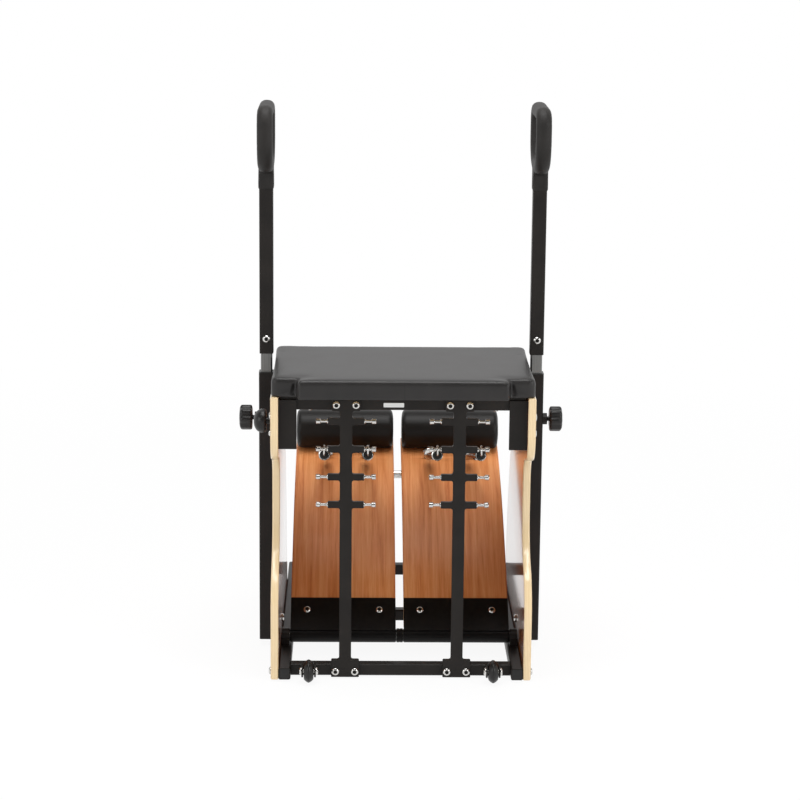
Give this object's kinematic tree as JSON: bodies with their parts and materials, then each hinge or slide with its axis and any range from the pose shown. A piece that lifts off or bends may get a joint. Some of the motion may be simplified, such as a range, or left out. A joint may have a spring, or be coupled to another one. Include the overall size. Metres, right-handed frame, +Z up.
{
  "type": "pilates chair",
  "caption": "Pilates chair with plywood sides, padded seat, spring posts with hook pegs, sprung foot pedals joined by a rod, and height-adjustable loop handles.",
  "frame": {"origin": "middle of the footprint on the floor, under the middle of the bounding box", "axes": "+Z up; +Y from the spring posts at the rear to the foot pads at the front; +X to the right as seen from the rear"},
  "size_m": [0.689, 0.815, 1.175],
  "materials": {
    "plywood": "bent and flat plywood, orange-brown gloss lacquer",
    "raw_plywood": "bare plywood under the cushion",
    "black_steel": "black powder coat, fine satin grain",
    "grey_steel": "plain drawn steel tube",
    "bright_steel": "bright plated steel",
    "leatherette": "black grained leatherette over foam",
    "grip_rubber": "matt black moulded rubber",
    "black_plastic": "black moulded plastic"
  },
  "bodies": {
    "frame": {"side_panel_left": "plywood", "side_panel_right": "plywood", "base_rail_left": "black_steel", "base_rail_right": "black_steel", "rail_end_caps": "black_plastic", "front_crossbar": "black_steel", "mid_crossbar": "black_steel", "rear_crossbar": "black_steel", "upper_crossbar": "black_steel", "seat_bracket_left": "black_steel", "seat_bracket_right": "black_steel", "spring_post_left": "black_steel", "spring_post_right": "black_steel", "spring_pegs": "bright_steel", "frame_bolts": "bright_steel", "seat_board": "raw_plywood", "seat_cushion": "leatherette", "handle_post_left": "black_steel", "handle_post_right": "black_steel", "post_bushes": "black_plastic", "pedal_axle": "bright_steel", "hinge_spacer": "black_steel", "axle_blocks": "black_steel", "wheel_brackets": "black_steel", "wheel_axles": "bright_steel", "rubber_feet": "grip_rubber"},
    "left_pedal": {"pedal_board_left": "plywood", "hinge_plate_left": "black_steel", "hinge_bushes_left": "black_plastic", "foot_pad_left": "leatherette", "pedal_bolts_left": "bright_steel", "spring_eyes_left": "bright_steel", "rod_guides_left": "black_steel"},
    "left_spring_heads": {"springs_left": "bright_steel", "spring_rear_ends_left": "bright_steel"},
    "left_spring_tails": {"spring_front_ends_left": "bright_steel"},
    "left_handle": {"handle_grip_left": "grip_rubber", "handle_tube_left": "black_steel", "inner_tube_left": "grey_steel", "handle_bolt_left": "bright_steel"},
    "left_clamp_knob": {"clamp_knob_left": "black_plastic"},
    "left_wheel": {"transport_wheel_left": "black_plastic"},
    "right_pedal": {"pedal_board_right": "plywood", "hinge_plate_right": "black_steel", "hinge_bushes_right": "black_plastic", "foot_pad_right": "leatherette", "pedal_bolts_right": "bright_steel", "spring_eyes_right": "bright_steel", "rod_guides_right": "black_steel"},
    "right_spring_heads": {"springs_right": "bright_steel", "spring_rear_ends_right": "bright_steel"},
    "right_spring_tails": {"spring_front_ends_right": "bright_steel"},
    "right_handle": {"handle_grip_right": "grip_rubber", "handle_tube_right": "black_steel", "inner_tube_right": "grey_steel", "handle_bolt_right": "bright_steel"},
    "right_clamp_knob": {"clamp_knob_right": "black_plastic"},
    "right_wheel": {"transport_wheel_right": "black_plastic"},
    "joining_rod": {"joining_rod": "grey_steel"},
    "side_knob": {"side_knob": "black_plastic"}
  },
  "joints": [
    {"name": "left_pedal_hinge", "type": "hinge", "parent": "frame", "child": "left_pedal", "pos_m": [-0.121, -0.2035, 0.045], "axis": [-1, 0, 0], "range_deg": [0, 26], "stiffness_Nm_per_rad": 40, "springref_deg": -34.38},
    {"name": "left_spring_swing", "type": "hinge", "parent": "frame", "child": "left_spring_heads", "pos_m": [-0.116, -0.3495, 0.4905], "axis": [-1, 0, 0], "range_deg": [0, 15.2]},
    {"name": "left_spring_stretch", "type": "slide", "parent": "left_spring_heads", "child": "left_spring_tails", "axis": [0, 0.9714, -0.2373], "range_m": [0, 0.165]},
    {"name": "left_handle_slide", "type": "slide", "parent": "frame", "child": "left_handle", "axis": [0, 0, 1], "range_m": [-0.038, 0.15]},
    {"name": "left_clamp_turn", "type": "hinge", "parent": "frame", "child": "left_clamp_knob", "pos_m": [-0.33, -0.1265, 0.505], "axis": [1, 0, 0], "continuous": true},
    {"name": "left_wheel_spin", "type": "hinge", "parent": "frame", "child": "left_wheel", "pos_m": [-0.191, -0.3835, 0.026], "axis": [1, 0, 0], "continuous": true},
    {"name": "right_pedal_hinge", "type": "hinge", "parent": "frame", "child": "right_pedal", "pos_m": [0.121, -0.2035, 0.045], "axis": [-1, 0, 0], "range_deg": [0, 26], "stiffness_Nm_per_rad": 40, "springref_deg": -34.38},
    {"name": "right_spring_swing", "type": "hinge", "parent": "frame", "child": "right_spring_heads", "pos_m": [0.116, -0.3495, 0.4905], "axis": [-1, 0, 0], "range_deg": [0, 15.2]},
    {"name": "right_spring_stretch", "type": "slide", "parent": "right_spring_heads", "child": "right_spring_tails", "axis": [0, 0.9714, -0.2373], "range_m": [0, 0.165]},
    {"name": "right_handle_slide", "type": "slide", "parent": "frame", "child": "right_handle", "axis": [0, 0, 1], "range_m": [-0.038, 0.15]},
    {"name": "right_clamp_turn", "type": "hinge", "parent": "frame", "child": "right_clamp_knob", "pos_m": [0.33, -0.1265, 0.505], "axis": [1, 0, 0], "continuous": true},
    {"name": "right_wheel_spin", "type": "hinge", "parent": "frame", "child": "right_wheel", "pos_m": [0.191, -0.3835, 0.026], "axis": [1, 0, 0], "continuous": true},
    {"name": "rod_slide", "type": "slide", "parent": "left_pedal", "child": "joining_rod", "axis": [-1, 0, 0], "range_m": [0, 0.072]},
    {"name": "side_knob_turn", "type": "hinge", "parent": "frame", "child": "side_knob", "pos_m": [-0.29, -0.3095, 0.54], "axis": [1, 0, 0], "continuous": true}
  ],
  "couplings": [
    {"joint": "left_spring_swing", "follows": "left_pedal_hinge", "ratio": 0.57795},
    {"joint": "left_spring_stretch", "follows": "left_pedal_hinge", "m_per_rad": 0.3609},
    {"joint": "right_pedal_hinge", "follows": "left_pedal_hinge", "ratio": 1},
    {"joint": "right_spring_swing", "follows": "left_pedal_hinge", "ratio": 0.57795},
    {"joint": "right_spring_stretch", "follows": "left_pedal_hinge", "m_per_rad": 0.3609}
  ]
}
